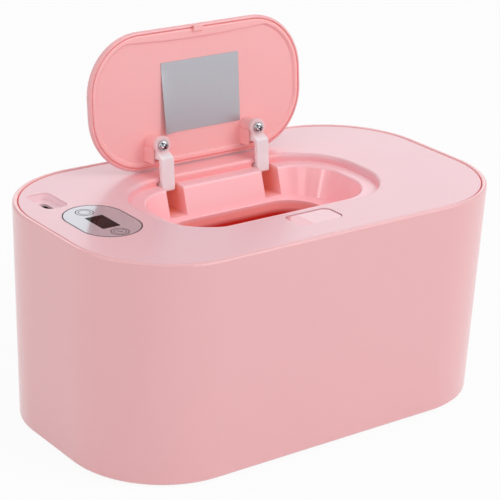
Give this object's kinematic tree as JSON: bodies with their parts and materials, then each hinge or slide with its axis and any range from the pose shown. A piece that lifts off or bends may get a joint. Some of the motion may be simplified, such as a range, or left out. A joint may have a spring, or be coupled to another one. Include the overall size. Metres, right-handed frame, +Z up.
{
  "type": "baby wipe warmer",
  "caption": "Rounded tub with a heated pull-off cover, sprung hinged lid, push-button latch, oval touch panel and power socket; warms and dispenses baby wipes.",
  "frame": {"origin": "centre of the tub in plan, at the underside of the rubber feet", "axes": "+Z up, +X along the tub's long side away from the control panel, -Y towards the latch button; lid stands open"},
  "size_m": [0.224, 0.1334, 0.1725],
  "materials": {
    "pink_plastic": "satin-gloss moulded plastic, pale pink",
    "lid_pink": "satin-gloss moulded plastic, pink",
    "liner_pink": "satin moulded plastic, warm pink",
    "button_pink": "satin-gloss moulded plastic, pale pink",
    "base_pink": "matte moulded plastic, pale pink",
    "inner_pink": "satin moulded plastic, pink",
    "white_plastic": "matte moulded plastic, white",
    "arm_white": "milky translucent plastic",
    "foam": "closed-cell foam sheet",
    "felt": "needled insulating felt",
    "film": "amber film with etched tracks",
    "seal_rubber": "soft grey silicone",
    "foot_rubber": "soft light grey rubber",
    "steel": "plated steel",
    "dark_steel": "blackened spring steel",
    "chrome_screw": "bright chrome",
    "panel_silver": "glossy silver finish",
    "dark_lens": "smoked clear window",
    "board_green": "solder mask on laminate",
    "module_white": "white moulded display body",
    "aluminium_plate": "plain sheet",
    "fuse_body": "sleeved thermal fuse",
    "dark_plastic": "black plastic",
    "red_lead": "red lead insulation"
  },
  "bodies": {
    "tub": {"body_shell": "pink_plastic", "inner_tank": "inner_pink", "tank_foam": "foam", "base_plate": "base_pink", "rubber_feet": "foot_rubber", "base_screws": "steel", "cover_seal": "seal_rubber"},
    "cover": {"top_cover": "pink_plastic", "control_panel": "panel_silver", "display_lens": "dark_lens", "control_board": "board_green", "display_module": "module_white", "touch_springs": "steel", "board_screws": "steel", "power_socket": "steel", "cover_pan": "inner_pink", "pan_screws": "steel", "heater_insulation": "felt", "heating_film": "film", "heater_plate": "aluminium_plate", "thermal_fuse": "fuse_body", "thermistor": "dark_plastic", "heater_leads": "red_lead", "sensor_leads": "dark_plastic", "pivot_pins": "steel", "pin_clips": "dark_steel", "lid_spring_left": "steel", "lid_spring_right": "steel", "latch_spring": "steel", "button_springs": "steel"},
    "lid": {"lid_cover": "lid_pink", "lid_liner": "liner_pink", "hinge_arm_left": "arm_white", "hinge_arm_right": "arm_white", "arm_screws": "chrome_screw"},
    "button": {"latch_button": "button_pink"},
    "slider": {"latch_slider": "white_plastic"}
  },
  "joints": [
    {"name": "cover_lift", "type": "slide", "parent": "tub", "child": "cover", "axis": [0, 0, 1], "range_m": [0, 0.12]},
    {"name": "lid_hinge", "type": "hinge", "parent": "cover", "child": "lid", "pos_m": [0, 0.04, 0.1003], "axis": [1, 0, 0], "range_deg": [0, 96.4], "stiffness_Nm_per_rad": 0.02, "springref_deg": -57.3},
    {"name": "button_press", "type": "slide", "parent": "cover", "child": "button", "axis": [0, 0, -1], "range_m": [0, 0.0014], "stiffness_N_per_m": 500, "springref_m": -0.001, "deforming": ["button_springs"]},
    {"name": "slider_slide", "type": "slide", "parent": "cover", "child": "slider", "axis": [0, -1, 0], "range_m": [0, 0.0012]}
  ],
  "couplings": [
    {"joint": "slider_slide", "follows": "button_press", "ratio": 0.857}
  ]
}
